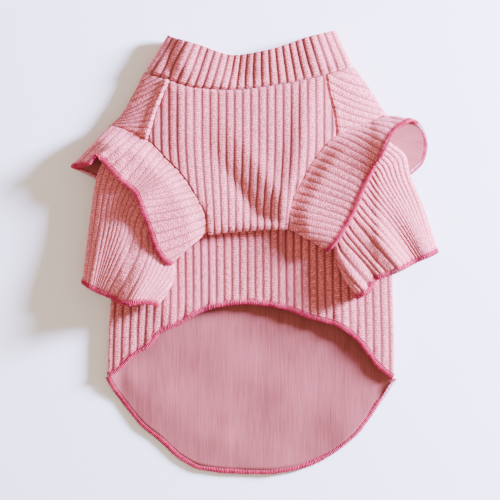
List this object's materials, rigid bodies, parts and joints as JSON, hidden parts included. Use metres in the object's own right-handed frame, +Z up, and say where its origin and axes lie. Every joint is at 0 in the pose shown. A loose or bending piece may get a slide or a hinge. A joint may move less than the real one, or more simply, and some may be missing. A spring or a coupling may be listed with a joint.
{
  "type": "dog top",
  "caption": "Sleeved pet top in pink ribbed knit, laid flat belly side up, with a band collar, tiered ruffled sleeves, a tucked chest panel and overlocked edges",
  "frame": {"origin": "A point on the flat underside of the back panel, on the floor, close to the middle of the body", "axes": "+Y towards the neck along the body, +X towards the wearer-side sleeve on the right of the picture, +Z up from the floor to the belly side"},
  "size_m": [0.2571, 0.3125, 0.0288],
  "materials": {
    "rib_knit": "brushed ribbed knit, pale pink",
    "overlock_thread": "deep pink overlock thread"
  },
  "bodies": {
    "root": {"collar": "rib_knit", "back_panel": "rib_knit", "belly_panel": "rib_knit", "chest_panel": "rib_knit", "shoulder_cap_left": "rib_knit", "shoulder_cap_right": "rib_knit", "upper_ruffle_left": "rib_knit", "upper_ruffle_right": "rib_knit", "lower_ruffle_left": "rib_knit", "lower_ruffle_right": "rib_knit", "belly_hem_edging": "overlock_thread", "back_hem_edging": "overlock_thread", "upper_edging_left": "overlock_thread", "upper_edging_right": "overlock_thread", "lower_edging_left": "overlock_thread", "lower_edging_right": "overlock_thread"}
  },
  "joints": []
}
